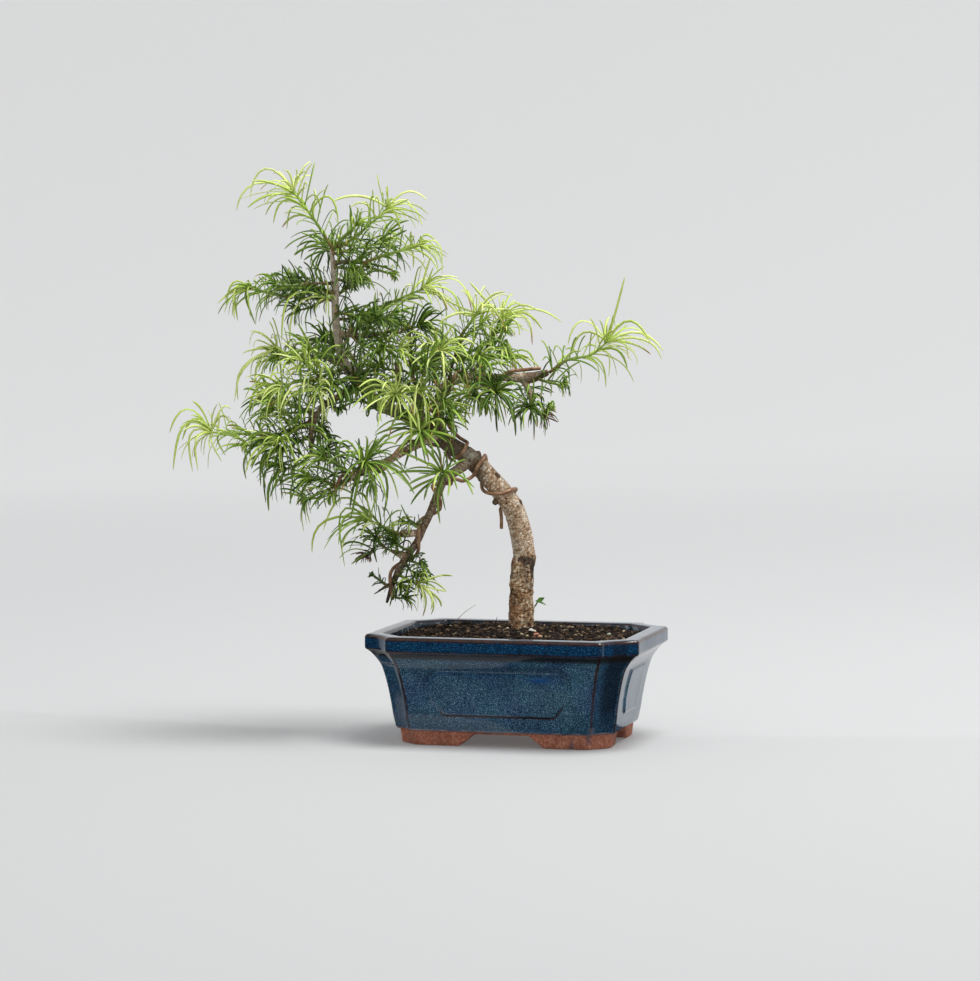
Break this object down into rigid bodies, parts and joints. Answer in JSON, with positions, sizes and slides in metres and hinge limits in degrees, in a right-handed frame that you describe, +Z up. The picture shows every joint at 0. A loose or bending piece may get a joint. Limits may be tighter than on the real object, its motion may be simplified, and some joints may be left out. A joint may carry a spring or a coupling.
{
  "type": "golden larch bonsai in a pot",
  "caption": "Small golden larch trained as a bonsai with a bent, leaning trunk and wired branches, growing in a glazed rectangular pot with cut corners and feet.",
  "frame": {"origin": "on the surface it stands on, under the middle of the whole object's box", "axes": "+X along the pot's long side, to the right of the front; the front faces -Y; +Z up"},
  "size_m": [0.2742, 0.1276, 0.318],
  "materials": {
    "glazed_stoneware": "blue glaze over red clay, mottled, gloss",
    "soil": "dark crumbly soil",
    "screen_plastic": "moulded plastic mesh",
    "bark": "grey brown bark with fine rings",
    "copper_wire": "copper coloured training wire, satin",
    "seedling": "soft green leaf",
    "needles_bright": "soft bright green needles",
    "needles_dark": "soft dark green needles"
  },
  "bodies": {
    "root": {"drain_screen_left": "screen_plastic", "drain_screen_right": "screen_plastic", "pot": "glazed_stoneware", "soil": "soil", "spray_backShootA": "needles_dark", "spray_backShootB": "needles_dark", "spray_backShootC": "needles_dark", "spray_backShootD": "needles_dark", "spray_backShootE": "needles_dark", "spray_branchStart": "needles_dark", "spray_brightDrop": "needles_bright", "spray_centreLeft": "needles_dark", "spray_curlEnd": "needles_dark", "spray_farLeftLower": "needles_dark", "spray_farLeftShoot": "needles_bright", "spray_forkRosette": "needles_dark", "spray_frontBright": "needles_bright", "spray_frontLeftShoot": "needles_bright", "spray_frontLeftTop": "needles_bright", "spray_hangRosette": "needles_bright", "spray_hangShoot": "needles_bright", "spray_knobCluster": "needles_dark", "spray_leader": "needles_bright", "spray_leaderKnobRight": "needles_dark", "spray_leftShootLow": "needles_dark", "spray_leftShootUp": "needles_dark", "spray_leftTip": "needles_dark", "spray_lightLeftShoot": "needles_bright", "spray_massCentre": "needles_dark", "spray_massFront": "needles_dark", "spray_massLow": "needles_dark", "spray_middleBack": "needles_dark", "spray_middleDark": "needles_dark", "spray_middleShoot": "needles_dark", "spray_rightCombTop": "needles_dark", "spray_rightFront": "needles_dark", "spray_rightMass": "needles_dark", "spray_rightShoot": "needles_bright", "spray_rightTop": "needles_dark", "spray_rightUnder": "needles_dark", "spray_rosetteLow": "needles_bright", "spray_rosetteMid": "needles_bright", "spray_rosetteTop": "needles_bright", "spray_shootA": "needles_bright", "spray_shootB": "needles_bright", "spray_shootC": "needles_bright", "spray_shootD": "needles_bright", "spray_spurRosette": "needles_dark", "spray_spurRosetteA": "needles_dark", "spray_spurRosetteB": "needles_dark", "spray_topCluster": "needles_dark", "spray_trunkTuft": "needles_bright", "spray_upperLeftShoot": "needles_bright", "spray_upperLeftTop": "needles_dark", "sprout": "seedling", "trunk_and_branches": "bark", "wire_left_branch_to_right_branch": "copper_wire", "wire_trunk_to_hanging_branch": "copper_wire"}
  },
  "joints": []
}
